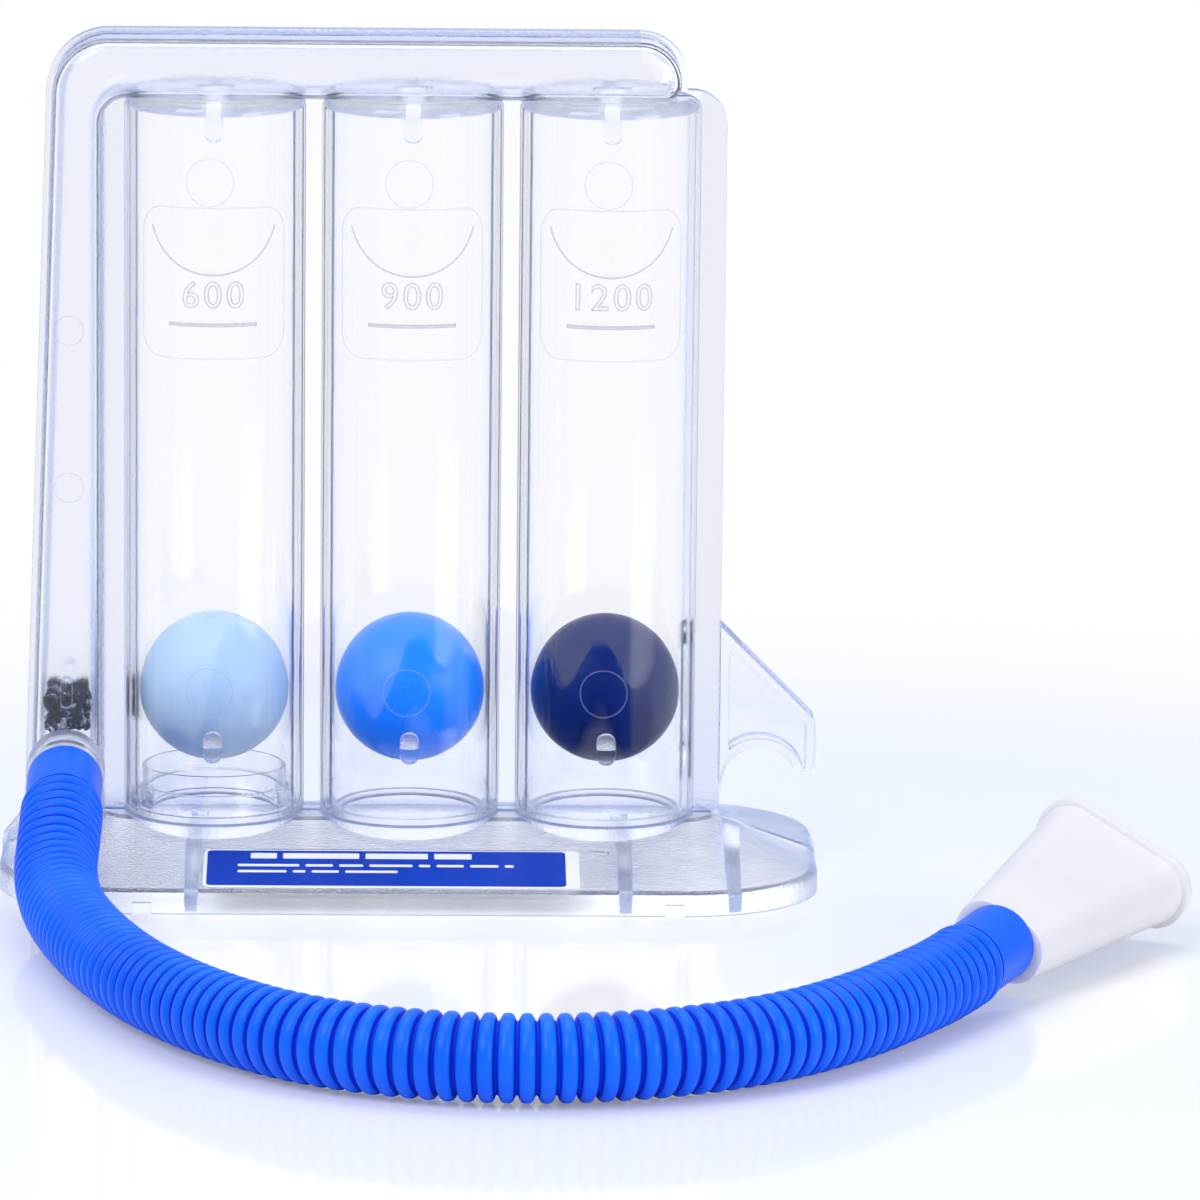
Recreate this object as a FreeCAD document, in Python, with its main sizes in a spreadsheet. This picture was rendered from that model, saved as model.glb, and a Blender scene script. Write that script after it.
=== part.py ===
import FreeCAD, Part
import math
import os
import re
import Sketcher
from FreeCAD import Placement, Rotation, Vector

# A three-ball incentive spirometer: a clear welded tower of three ball chambers and an air duct
# standing on a clear foot, with a hooked tube holder, a corrugated hose and a flared mouthpiece.
# Millimetres. Origin at the bottom centre of the foot, X to the right, Y to the back, Z up.

doc = FreeCAD.newDocument("Spirometer")

# Driving dimensions

SIZES = {
    # Foot: plan, height and sloped roof
    "base_half_length": 72.5,
    "base_half_depth": 38.0,
    "base_corner": 24.0,
    "skirt_height": 4.2,
    "roof_height": 10.7,
    "ridge_half_length": 54.0,
    "ridge_half_depth": 6.0,
    "ridge_corner": 5.6,
    "base_wall": 1.8,
    "shoulder_round": 1.6,
    "fin_low": 1.5,
    "fin_end": 5.9,
    "fin_round": 2.0,
    "seat_height": 10.8,
    # Stiffening ribs and air notches of the foot
    "rib_top_width": 3.5,
    "rib_foot_width": 2.0,
    "rib_lift": 0.3,
    "inner_rib_place": 38.0,
    "outer_rib_place": 57.0,
    "rib_vent_radius": 5.0,
    "notch_place": 46.6,
    "notch_width": 3.4,
    "notch_height": 2.0,
    # Ball chambers
    "chamber_pitch": 34.8,
    "chamber_bore": 13.8,
    "chamber_wall": 2.2,
    "chamber_round": 2.4,
    "floor_thickness": 1.2,
    "floor_hole": 12.5,
    "ceiling_height": 137.0,
    "ceiling_thickness": 2.6,
    "outlet_radius": 3.5,
    # Balls and the nubs that carry and stop them
    "ball_radius": 13.25,
    "ball_wall": 0.9,
    "ball_rest_height": 33.4,
    "ball_head_gap": 0.35,
    "ball_seat_gap": 0.25,
    "nub_width": 3.2,
    "nub_reach": 4.0,
    "rest_nub_drop": 11.4,
    "rest_nub_height": 5.5,
    "stop_nub_drop": 4.4,
    # Air duct up the left side and along the top
    "duct_foot_left": 67.3,
    "duct_head_left": 62.9,
    "duct_inner_edge": 54.6,
    "duct_sink": 0.2,
    "duct_height": 10.4,
    "duct_right": 47.0,
    "duct_corner": 10.0,
    "duct_end_corner": 7.2,
    "duct_low_corner": 3.0,
    "duct_inside_corner": 4.5,
    "duct_half_depth": 10.0,
    "duct_wall": 1.15,
    "duct_round": 2.8,
    # Weld flange on the parting plane
    "flange_half": 1.4,
    "flange_rim": 1.2,
    "post_right": 55.3,
    "post_rise": 1.1,
    "post_corner": 6.2,
    # Hooked tube holder
    "hook_top": 45.0,
    "hook_right": 72.3,
    "hook_tip": 18.9,
    "hook_half_depth": 4.0,
    "hook_web": 1.6,
    "hook_rim": 1.6,
    "hook_corner": 2.4,
    "notch_across": 62.4,
    "notch_middle": 16.2,
    "notch_radius": 6.85,
    # Flow ring of the first chamber
    "ring_gap": 0.3,
    "ring_height": 7.3,
    "ring_step": 3.6,
    "ring_wall": 1.4,
    "ring_lip": 1.0,
    # Inlet port and foam filter
    "port_across": 60.8,
    "port_middle": 20.0,
    "port_droop": 12.0,
    "port_collar": 6.9,
    "port_step": 6.3,
    "collar_length": 3.0,
    "port_length": 5.0,
    "nozzle_radius": 5.45,
    "nozzle_tip": 5.25,
    "nozzle_length": 11.5,
    "port_bore": 4.1,
    "spigot_radius": 4.7,
    "spigot_gap": 0.3,
    "filter_low": 26.0,
    "filter_high": 33.4,
    "filter_gap": 0.3,
    "peg_low": 30.6,
    "peg_high": 36.0,
    "peg_width": 2.0,
    "peg_reach": 3.0,
    # Hose, its two cuffs and the mouthpiece
    "hose_radius": 7.25,
    "hose_bore": 5.4,
    "cuff_radius": 6.65,
    "cuff_gap": 0.05,
    "cuff_length": 12.7,
    "cuff_lip": 1.0,
    "cuff_flare": 0.3,
    "mouth_spigot_radius": 5.4,
    "mouth_spigot_length": 11.0,
    "spigot_wall": 1.0,
    "mouth_length": 50.0,
    "mouth_neck_wide": 8.2,
    "mouth_neck_high": 5.6,
    "mouth_neck_corner": 5.0,
    "mouth_wide": 14.25,
    "mouth_high": 6.05,
    "mouth_corner": 5.5,
    "mouth_wall": 1.1,
    "mouth_rim": 0.8,
    "mouth_rim_height": 1.8,
    "mouth_roll": 26.7,
    "mouth_seat_gap": 0.3,
    # Label in a shallow recess on the front slope
    "label_left": 36.0,
    "label_right": 30.0,
    "recess_right": 35.4,
    "label_start": 2.2,
    "label_run": 16.0,
    "label_corner": 1.2,
    "label_thickness": 0.3,
    "recess_depth": 0.4,
    "label_gap": 0.15,
}

# Points of the hose's middle line, from the port cuff to the mouthpiece cuff
HOSE_POINTS = [
    (-60.8, -27.34, 16.31),
    (-60.8, -38.2, 14.0),
    (-61.2, -50.5, 10.0),
    (-59.4, -64.5, 7.6),
    (-55.8, -82.0, 7.3),
    (-50.2, -102.5, 7.3),
    (-42.6, -122.5, 7.3),
    (-31.6, -141.8, 7.3),
    (-17.2, -158.4, 7.3),
    (1.5, -168.0, 7.3),
    (22.0, -170.6, 7.3),
    (42.5, -166.1, 7.3),
    (60.8, -154.9, 7.3),
    (74.2, -139.2, 7.3),
    (83.0, -124.6, 7.3),
    (89.43, -113.1, 7.32),
    (93.15, -106.05, 8.0),
]

# The chambers from left to right, by the flow in cc a second that lifts each ball
CHAMBERS = {"600": -1, "900": 0, "1200": 1}

sheet = doc.addObject("Spreadsheet::Sheet", "sizes")
for row, (alias, number) in enumerate(SIZES.items(), start=1):
    sheet.set(f"A{row}", alias)
    sheet.set(f"B{row}", str(number))
    sheet.setAlias(f"B{row}", alias)
doc.recompute()

# Heights that follow from the driving dimensions

CHAMBER_HEAD = "(ceiling_height + ceiling_thickness)"
DUCT_FLOOR = f"({CHAMBER_HEAD} - duct_sink)"
DUCT_TOP = f"({DUCT_FLOOR} + duct_height)"
POST_TOP = f"({CHAMBER_HEAD} + post_rise)"
REST_NUB_LOW = "(ball_rest_height - rest_nub_drop)"
REST_NUB_HIGH = f"({REST_NUB_LOW} + rest_nub_height)"
RAISED_BALL = "(ceiling_height - ball_head_gap - ball_radius)"
ROOF_SLOPE = "atan((roof_height - skirt_height) / (base_half_depth - ridge_half_depth))"

# Tools for bound objects

FACING_FRONT = Rotation(Vector(1, 0, 0), 90)
CLEAR = 0.5
LONG = 200.0
HOSE_REACH = 0.45
LOZENGE_END = 0.49


def bound(expression):
    """An expression with the sheet's name before each of its aliases."""
    return re.sub(r"[a-z_]+", lambda word: f"sizes.{word[0]}" if word[0] in SIZES else word[0], expression)


def value(expression):
    """The number that an expression of sheet values gives."""
    result = sheet.evalExpression(bound(expression))
    return float(getattr(result, "Value", result))


def tie(item, expressions):
    """Tie properties of an object to expressions of sheet values."""
    for path, expression in expressions.items():
        item.setExpression(path, bound(expression))


def place(item, across, back, up):
    """Tie an object's position to expressions of sheet values."""
    tie(item, {".Placement.Base.x": across, ".Placement.Base.y": back, ".Placement.Base.z": up})


def primitive(kind, name, expressions, spot, turn=None):
    """A primitive of bound sizes at a bound spot."""
    item = doc.addObject(kind, name)
    if turn:
        item.Placement = Placement(Vector(), turn)
    tie(item, expressions)
    place(item, *spot)
    return item


def box(name, length, width, height, across, back, up):
    """A box whose lowest corner is at the given spot."""
    sizes = {"Length": length, "Width": width, "Height": height}
    return primitive("Part::Box", name, sizes, (across, back, up))


def cylinder(name, radius, height, across, back, up, turn=None):
    """A cylinder that starts at the given spot."""
    sizes = {"Radius": radius, "Height": height}
    return primitive("Part::Cylinder", name, sizes, (across, back, up), turn)


def ball_shape(name, radius, across, back, up):
    """A sphere about the given spot."""
    return primitive("Part::Sphere", name, {"Radius": radius}, (across, back, up))


def fuse(name, parts):
    """The union of several objects."""
    item = doc.addObject("Part::MultiFuse", name)
    item.Shapes = parts
    return item


def cut(name, base, tool):
    """One object less another."""
    item = doc.addObject("Part::Cut", name)
    item.Base = base
    item.Tool = tool
    return item


def common(name, parts):
    """What several objects share."""
    item = doc.addObject("Part::MultiCommon", name)
    item.Shapes = parts
    return item


def round_edges(name, base, radius, chosen):
    """Fillet the edges of an object that a test picks out."""
    doc.recompute()
    item = doc.addObject("Part::Fillet", name)
    item.Base = base
    length = value(radius)
    picked = [index for index, edge in enumerate(base.Shape.Edges, start=1) if chosen(edge)]
    item.Edges = [(index, length, length) for index in picked]
    return item


# Tools for sketches

def corner_arcs(corners):
    """For each corner: where its arc starts, its middle and its end, and the corner itself."""
    spots = [Vector(value(across), value(up), 0) for across, up, radius in corners]
    arcs = []
    for index, (across, up, radius) in enumerate(corners):
        spot = spots[index]
        before = (spots[index - 1] - spot).normalize()
        after = (spots[(index + 1) % len(spots)] - spot).normalize()
        size = value(radius) if radius else 0
        half = before.getAngle(after) / 2
        reach = size / math.tan(half)
        inward = (before + after).normalize() if size else Vector()
        middle = inward * (size / math.sin(half) - size)
        arcs.append((spot + before * reach, spot + middle, spot + after * reach, spot))
    return arcs


def limit(sketch, name, kind, geometry, expression):
    """A named dimension of a sketch, tied to an expression of sheet values."""
    number = sketch.addConstraint(Sketcher.Constraint(kind, *geometry, value(expression)))
    sketch.renameConstraint(number, name)
    sketch.setExpression(f"Constraints.{name}", bound(expression))


def draw_outline(sketch, corners):
    """A closed outline of straight sides, fully constrained to the sheet.

    A corner is (across, up, radius): three expressions, with None for the radius of a sharp one.
    """
    arcs = corner_arcs(corners)
    count = len(corners)
    for index in range(count):
        following = arcs[(index + 1) % count]
        sketch.addGeometry(Part.LineSegment(arcs[index][2], following[0]), False)
    for index, (across, up, radius) in enumerate(corners):
        start, middle, end, spot = arcs[index]
        before = (index - 1) % count
        corner = (index, 1)
        if radius:
            arc = sketch.addGeometry(Part.Arc(start, middle, end), False)
            mark = sketch.addGeometry(Part.Point(spot), True)
            forward = sketch.getPoint(arc, 1).distanceToPoint(start) < 1e-6
            first, last = (1, 2) if forward else (2, 1)
            sketch.addConstraint(Sketcher.Constraint("Tangent", before, 2, arc, first))
            sketch.addConstraint(Sketcher.Constraint("Tangent", arc, last, index, 1))
            sketch.addConstraint(Sketcher.Constraint("PointOnObject", mark, 1, before))
            sketch.addConstraint(Sketcher.Constraint("PointOnObject", mark, 1, index))
            limit(sketch, f"Radius{index}", "Radius", (arc,), radius)
            corner = (mark, 1)
        else:
            sketch.addConstraint(Sketcher.Constraint("Coincident", before, 2, index, 1))
        limit(sketch, f"Across{index}", "DistanceX", (-1, 1) + corner, across)
        limit(sketch, f"Up{index}", "DistanceY", (-1, 1) + corner, up)


def free_outline(name, corners, turn=None):
    """A sketch of an outline outside any body, in the XY plane unless it is turned."""
    sketch = doc.addObject("Sketcher::SketchObject", name)
    if turn:
        sketch.Placement = Placement(Vector(), turn)
    draw_outline(sketch, corners)
    return sketch


def rectangle(half_x, half_y, radius):
    """Corners of a rounded rectangle about the origin."""
    return [
        (f"-({half_x})", f"-({half_y})", radius),
        (half_x, f"-({half_y})", radius),
        (half_x, half_y, radius),
        (f"-({half_x})", half_y, radius),
    ]


def slab(name, profile, depth):
    """A profile extruded equally both ways from its plane."""
    item = doc.addObject("Part::Extrusion", name)
    item.Base = profile
    item.DirMode = "Normal"
    item.Symmetric = True
    item.Solid = True
    tie(item, {"LengthFwd": depth})
    return item


def body_sketch(body, name, role="XY_Plane", lift="0"):
    """A sketch on one of a body's own origin planes."""
    sketch = body.newObject("Sketcher::SketchObject", name)
    plane = next(item for item in body.Origin.OriginFeatures if item.Role == role)
    sketch.AttachmentSupport = [(plane, "")]
    sketch.MapMode = "FlatFace"
    tie(sketch, {".AttachmentOffset.Base.z": lift})
    return sketch


def turned(name, profile):
    """A body turned about its Z axis from corners of (radius, height)."""
    body = doc.addObject("PartDesign::Body", name)
    sketch = body_sketch(body, f"{name}_profile", "XZ_Plane")
    draw_outline(sketch, profile)
    turn = body.newObject("PartDesign::Revolution", f"{name}_turn")
    turn.Profile = sketch
    turn.ReferenceAxis = (sketch, ["V_Axis"])
    turn.Angle = 360
    body.Tip = turn
    return body


# Foot

def roofed_block(name, set_in, drop):
    """A skirt with a sloped roof: the foot's outer form, or its cavity with its walls set in."""
    body = doc.addObject("PartDesign::Body", name)
    plan = rectangle(
        f"base_half_length - {set_in}", f"base_half_depth - {set_in}", f"base_corner - {set_in}"
    )
    shoulder_height = f"skirt_height - {drop} / 2"
    plan_sketch = body_sketch(body, f"{name}_plan")
    draw_outline(plan_sketch, plan)
    skirt = body.newObject("PartDesign::Pad", f"{name}_skirt")
    skirt.Profile = plan_sketch
    tie(skirt, {"Length": shoulder_height})
    shoulder_sketch = body_sketch(body, f"{name}_shoulder", lift=shoulder_height)
    draw_outline(shoulder_sketch, plan)
    ridge_sketch = body_sketch(body, f"{name}_ridge", lift=f"roof_height - {drop}")
    draw_outline(ridge_sketch, rectangle("ridge_half_length", "ridge_half_depth", "ridge_corner"))
    roof = body.newObject("PartDesign::AdditiveLoft", f"{name}_roof")
    roof.Profile = shoulder_sketch
    roof.Sections = [ridge_sketch]
    roof.Ruled = True
    body.Tip = roof
    return body


def column(name, corners, low, high):
    """An outline in plan raised from one height to another."""
    sketch = free_outline(f"{name}_plan", corners)
    place(sketch, "0", "0", low)
    item = doc.addObject("Part::Extrusion", name)
    item.Base = sketch
    item.DirMode = "Normal"
    item.Solid = True
    tie(item, {"LengthFwd": f"{high} - {low}"})
    return item


def chamber_place(step):
    """Where a chamber's axis stands across the tower."""
    return f"{step} * chamber_pitch"


def tower_land():
    """The raised lands that the tower stands on, in the outline of its foot."""
    parts = []
    for flow, step in CHAMBERS.items():
        outer = "chamber_bore + chamber_wall"
        spot = (chamber_place(step), "0", "skirt_height")
        parts.append(cylinder(f"land_{flow}", outer, "seat_height - skirt_height", *spot))
    duct_foot = [
        ("-duct_foot_left", "-duct_half_depth", "duct_round"),
        ("-duct_inner_edge", "-duct_half_depth", "duct_round"),
        ("-duct_inner_edge", "duct_half_depth", "duct_round"),
        ("-duct_foot_left", "duct_half_depth", "duct_round"),
    ]
    parts.append(column("land_duct", duct_foot, "skirt_height", "seat_height"))
    fin = [
        ("-base_half_length", "fin_low", None),
        ("base_half_length", "fin_low", None),
        ("base_half_length", "fin_end", "fin_round"),
        ("ridge_half_length", "seat_height", None),
        ("-(duct_foot_left + flange_rim)", "seat_height", None),
        ("-base_half_length", "fin_end", "fin_round"),
    ]
    parts.append(slab("foot_fin", free_outline("foot_fin_profile", fin, FACING_FRONT), "2 * flange_half"))
    return parts


def foot_ribs():
    """Four tapered ribs from front to back, with a vent through them under the ridge."""
    ribs = []
    for name, centre in (("left_outer", "-outer_rib_place"), ("left_inner", "-inner_rib_place"),
                         ("right_inner", "inner_rib_place"), ("right_outer", "outer_rib_place")):
        profile = [
            (f"{centre} - rib_foot_width / 2", "rib_lift", None),
            (f"{centre} + rib_foot_width / 2", "rib_lift", None),
            (f"{centre} + rib_top_width / 2", "roof_height", None),
            (f"{centre} - rib_top_width / 2", "roof_height", None),
        ]
        sketch = free_outline(f"rib_{name}_profile", profile, FACING_FRONT)
        ribs.append(slab(f"rib_{name}", sketch, "2 * base_half_depth"))
    along = Rotation(Vector(0, 1, 0), 90)
    spot = ("-base_half_length", "0", "rib_lift")
    vent = cylinder("rib_vent", "rib_vent_radius", "2 * base_half_length", *spot, along)
    return cut("foot_ribs", fuse("foot_rib_plates", ribs), vent)


def plate_on_slope(name, left, right, spare, low, thickness):
    """A rounded plate that lies on the front slope, its underside so far above the surface."""
    corners = [
        (f"-({left})", f"label_start - {spare}", f"label_corner + {spare}"),
        (right, f"label_start - {spare}", f"label_corner + {spare}"),
        (right, f"label_start + label_run + {spare}", f"label_corner + {spare}"),
        (f"-({left})", f"label_start + label_run + {spare}", f"label_corner + {spare}"),
    ]
    sketch = free_outline(f"{name}_plan", corners, Rotation(Vector(1, 0, 0), value(ROOF_SLOPE)))
    tie(sketch, {".Placement.Rotation.Angle": ROOF_SLOPE})
    back = f"-base_half_depth - ({low}) * sin({ROOF_SLOPE})"
    place(sketch, "0", back, f"skirt_height + ({low}) * cos({ROOF_SLOPE})")
    item = doc.addObject("Part::Extrusion", name)
    item.Base = sketch
    item.DirMode = "Normal"
    item.Solid = True
    tie(item, {"LengthFwd": thickness})
    return item


def rim_notches():
    """Small air notches in the foot's rim, two in front and two behind."""
    notches = []
    deep = f"base_wall + 2 * {CLEAR}"
    for side in (-1, 1):
        across = f"{side} * notch_place - notch_width / 2"
        for name, back in (("front", f"-base_half_depth - {CLEAR}"),
                           ("rear", f"base_half_depth - base_wall - {CLEAR}")):
            title = f"notch_{name}_{side + 1}"
            high = f"notch_height + {CLEAR}"
            notches.append(box(title, "notch_width", deep, high, across, back, f"-{CLEAR}"))
    return notches


def build_base():
    """The foot: a thin-walled rounded skirt and sloped roof, open underneath."""
    outer = roofed_block("foot_outer", "0", "0")
    shoulder = value("skirt_height")
    rounded = round_edges(
        "foot_rounded", outer, "shoulder_round",
        lambda edge: all(abs(corner.Z - shoulder) < 1e-4 for corner in edge.Vertexes),
    )
    cavity = cut("foot_hollow", roofed_block("foot_cavity", "base_wall", "base_wall"), foot_ribs())
    holes = rim_notches()
    for flow, step in CHAMBERS.items():
        low = "roof_height - 2 * base_wall"
        spot = (chamber_place(step), "0", low)
        holes.append(cylinder(f"foot_hole_{flow}", "floor_hole", f"seat_height + {CLEAR} - ({low})", *spot))
    recess = plate_on_slope(
        "label_recess", "label_left + label_gap", "recess_right", "label_gap", "-recess_depth", "1"
    )
    body = fuse("foot_body", [rounded] + tower_land())
    return cut("foot", body, fuse("foot_spaces", [cavity, recess] + holes))


# Tower

def duct_outline(set_in):
    """The duct's L-shaped outline seen from the front, with its walls set in."""
    return [
        (f"-(duct_foot_left - {set_in})", f"seat_height + {set_in}", None),
        (f"-(duct_inner_edge + {set_in})", f"seat_height + {set_in}", None),
        (f"-(duct_inner_edge + {set_in})", f"{DUCT_FLOOR} + {set_in}", f"duct_inside_corner + {set_in}"),
        (f"duct_right - {set_in}", f"{DUCT_FLOOR} + {set_in}", f"duct_low_corner - {set_in}"),
        (f"duct_right - {set_in}", f"{DUCT_TOP} - {set_in}", f"duct_end_corner - {set_in}"),
        (f"-(duct_head_left - {set_in})", f"{DUCT_TOP} - {set_in}", f"duct_corner - {set_in}"),
    ]


FLANGE_OUTLINE = [
    ("-(duct_foot_left + flange_rim)", "seat_height", None),
    ("post_right", "seat_height", None),
    ("post_right", POST_TOP, "post_corner"),
    ("duct_right + flange_rim", POST_TOP, None),
    ("duct_right + flange_rim", f"{DUCT_TOP} + flange_rim", "duct_end_corner + flange_rim"),
    ("-(duct_head_left + flange_rim)", f"{DUCT_TOP} + flange_rim", "duct_corner + flange_rim"),
]


def duct_block(name, profile, half_depth, radius, floor):
    """The duct's outline given its depth, with its front and back edges rounded."""
    block = slab(f"{name}_block", profile, f"2 * ({half_depth})")
    front = value(half_depth)
    low = value(floor)

    def on_face(edge):
        ends = [vertex.Point for vertex in edge.Vertexes]
        flat = all(abs(abs(end.y) - front) < 1e-4 for end in ends)
        same_side = len(ends) == 2 and abs(ends[0].y - ends[1].y) < 1e-4
        return flat and same_side and any(end.z > low + 1e-3 for end in ends)

    return round_edges(name, block, radius, on_face)


def chamber_outer(flow, step):
    """A chamber's outer wall, rounded at its head."""
    spot = (chamber_place(step), "0", "seat_height")
    wall = cylinder(f"wall_{flow}", "chamber_bore + chamber_wall", f"{CHAMBER_HEAD} - seat_height", *spot)
    top = value(CHAMBER_HEAD)
    return round_edges(
        f"rounded_wall_{flow}", wall, "chamber_round",
        lambda edge: all(abs(vertex.Z - top) < 1e-4 for vertex in edge.Vertexes),
    )


def chamber_spaces(flow, step):
    """What is hollow in a chamber: its bore, the hole in its floor and its outlet to the duct."""
    across = chamber_place(step)
    floor = "seat_height + floor_thickness"
    bore = cylinder(f"bore_{flow}", "chamber_bore", f"ceiling_height - ({floor})", across, "0", floor)
    low = f"seat_height - {CLEAR}"
    hole = cylinder(f"hole_{flow}", "floor_hole", f"floor_thickness + 2 * {CLEAR}", across, "0", low)
    start = f"ceiling_height - {CLEAR}"
    rise = f"{DUCT_FLOOR} + duct_wall + {CLEAR} - ({start})"
    outlet = cylinder(f"outlet_{flow}", "outlet_radius", rise, across, "0", start)
    return [bore, hole, outlet]


def wall_pair(name, across, width, low, high, half_depth, reach, spaces=()):
    """A pair of upright lozenge nubs, on the front and the back wall, that reach inward."""
    end_round = f"{LOZENGE_END} * ({width})"
    corners = [
        (f"{across} - ({width}) / 2", low, end_round),
        (f"{across} + ({width}) / 2", low, end_round),
        (f"{across} + ({width}) / 2", high, end_round),
        (f"{across} - ({width}) / 2", high, end_round),
    ]
    profile = free_outline(f"{name}_profile", corners, FACING_FRONT)
    bar = slab(f"{name}_bar", profile, f"2 * ({half_depth})")
    inner = f"2 * ({half_depth} - ({reach}))"
    middle = box(
        f"{name}_middle", f"2 * ({width})", inner, f"{high} - ({low}) + 2 * {CLEAR}",
        f"{across} - ({width})", f"-({inner}) / 2", f"{low} - {CLEAR}",
    )
    space = fuse(f"{name}_space", [middle] + list(spaces)) if spaces else middle
    return cut(name, bar, space)


def ball_nubs(flow, step):
    """The nubs that a ball rests on, and those that stop it at the top of its travel."""
    across = chamber_place(step)
    depth = "chamber_bore + chamber_wall / 2"
    reach = "nub_reach + chamber_wall / 2"
    room = "ball_radius + ball_seat_gap"
    rest_room = ball_shape(f"rest_room_{flow}", room, across, "0", "ball_rest_height")
    rest = wall_pair(
        f"rest_nubs_{flow}", across, "nub_width", REST_NUB_LOW, REST_NUB_HIGH, depth, reach, [rest_room]
    )
    stop_room = ball_shape(f"stop_room_{flow}", room, across, "0", RAISED_BALL)
    head = f"ceiling_height + {CLEAR}"
    stop = wall_pair(
        f"stop_nubs_{flow}", across, "nub_width", "ceiling_height - stop_nub_drop", head, depth, reach,
        [stop_room],
    )
    return [rest, stop]


def along_port(item):
    """Turn an object's Z axis along the port: forward, with a slight droop."""
    item.Placement = Placement(Vector(), Rotation(Vector(1, 0, 0), 90 + value("port_droop")))
    tie(item, {".Placement.Rotation.Angle": "90 + port_droop"})
    place(item, "-port_across", "-duct_half_depth", "port_middle")
    return item


def build_tower():
    """The whole welded tower, before it is parted into its front and rear shells."""
    rim_profile = free_outline("flange_profile", FLANGE_OUTLINE, FACING_FRONT)
    plate = slab("flange_plate", rim_profile, "2 * flange_half")
    profile = free_outline("duct_profile", duct_outline("0"), FACING_FRONT)
    duct = duct_block("duct", profile, "duct_half_depth", "duct_round", "seat_height")
    inner_profile = free_outline("airway_profile", duct_outline("duct_wall"), FACING_FRONT)
    airway = duct_block(
        "airway", inner_profile, "duct_half_depth - duct_wall", "duct_round - duct_wall",
        "seat_height + duct_wall",
    )
    walls = [plate, duct]
    spaces = [airway]
    nubs = []
    for flow, step in CHAMBERS.items():
        walls.append(chamber_outer(flow, step))
        spaces += chamber_spaces(flow, step)
        nubs += ball_nubs(flow, step)
    port_hole = doc.addObject("Part::Cylinder", "port_hole")
    tie(port_hole, {"Radius": "spigot_radius + spigot_gap", "Height": "2 * duct_half_depth"})
    along_port(port_hole)
    slide = "duct_wall + duct_wall"
    place(port_hole, "-port_across", f"-duct_half_depth + ({slide}) * cos(port_droop)",
          f"port_middle + ({slide}) * sin(port_droop)")
    spaces.append(port_hole)
    pegs = wall_pair(
        "filter_pegs", "-port_across", "peg_width", "peg_low", "peg_high",
        "duct_half_depth - duct_wall / 2", "peg_reach + duct_wall / 2",
    )
    hollow = cut("tower_walls", fuse("tower_outer", walls), fuse("tower_spaces", spaces))
    return fuse("tower", [hollow, pegs] + nubs)


def half_space(name, back):
    """A box that holds everything on one side of the parting plane."""
    return box(name, f"{LONG}", f"{LONG} / 2", f"{LONG}", f"-{LONG} / 2", back, "0")


def build_holder():
    """The hooked tube holder: a thin web in a rim, open below in a notch for the hose's cuff."""
    diagonal = "sqrt(2) * hook_rim"
    outer = [
        ("post_right", "hook_top", None),
        ("post_right", "notch_middle", None),
        ("notch_across - notch_radius / 2", "notch_middle", None),
        ("notch_across - notch_radius / 2", "hook_tip", None),
        ("hook_right", "hook_tip", "hook_rim"),
        ("hook_right", "post_right + hook_top - hook_right", "hook_corner"),
    ]
    inner = [
        ("post_right + hook_rim", f"hook_top - {diagonal} - hook_rim", "hook_rim / 2"),
        ("post_right + hook_rim", "notch_middle", None),
        ("hook_right - hook_rim", "notch_middle", None),
        ("hook_right - hook_rim", f"post_right + hook_top - {diagonal} - hook_right + hook_rim",
         "hook_rim / 2"),
    ]
    depth = "2 * hook_half_depth"
    plate = slab("holder_plate", free_outline("holder_profile", outer, FACING_FRONT), depth)
    deep = f"{depth} + 2 * {CLEAR}"
    pocket = slab("holder_pocket", free_outline("pocket_profile", inner, FACING_FRONT), deep)
    spot = ("notch_across", f"hook_half_depth + {CLEAR}", "notch_middle")
    notch = cylinder("holder_notch", "notch_radius", deep, *spot, FACING_FRONT)
    rim = cylinder("holder_notch_rim", "notch_radius + hook_rim", deep, *spot, FACING_FRONT)
    web = box(
        "holder_web", "hook_right - post_right", "hook_web", "hook_top",
        "post_right", "-hook_web / 2", "0",
    )
    hollow = cut("holder_hollow", pocket, fuse("holder_kept", [rim, web]))
    return cut("holder", plate, fuse("holder_spaces", [notch, hollow]))


def build_ring():
    """The stepped flow ring that stands on the first chamber's floor."""
    outer = "chamber_bore - ring_gap"
    ring = turned("flow_ring", [
        (f"{outer} - ring_wall - ring_lip", "0", None),
        (outer, "0", None),
        (outer, "ring_step", None),
        (f"{outer} - ring_wall / 2", "ring_step", None),
        (f"{outer} - ring_wall / 2", "ring_height", None),
        (f"{outer} - ring_wall", "ring_height", None),
        (f"{outer} - ring_wall", "ring_step", None),
        (f"{outer} - ring_wall - ring_lip", "ring_step", None),
    ])
    place(ring, chamber_place(CHAMBERS["600"]), "0", "seat_height + floor_thickness")
    return ring


def build_ball(flow, step):
    """A thin hollow ball at rest on its nubs."""
    spot = (chamber_place(step), "0", "ball_rest_height")
    outer = ball_shape(f"ball_outer_{flow}", "ball_radius", *spot)
    return cut(f"ball_{flow}", outer, ball_shape(f"ball_inner_{flow}", "ball_radius - ball_wall", *spot))


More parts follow.
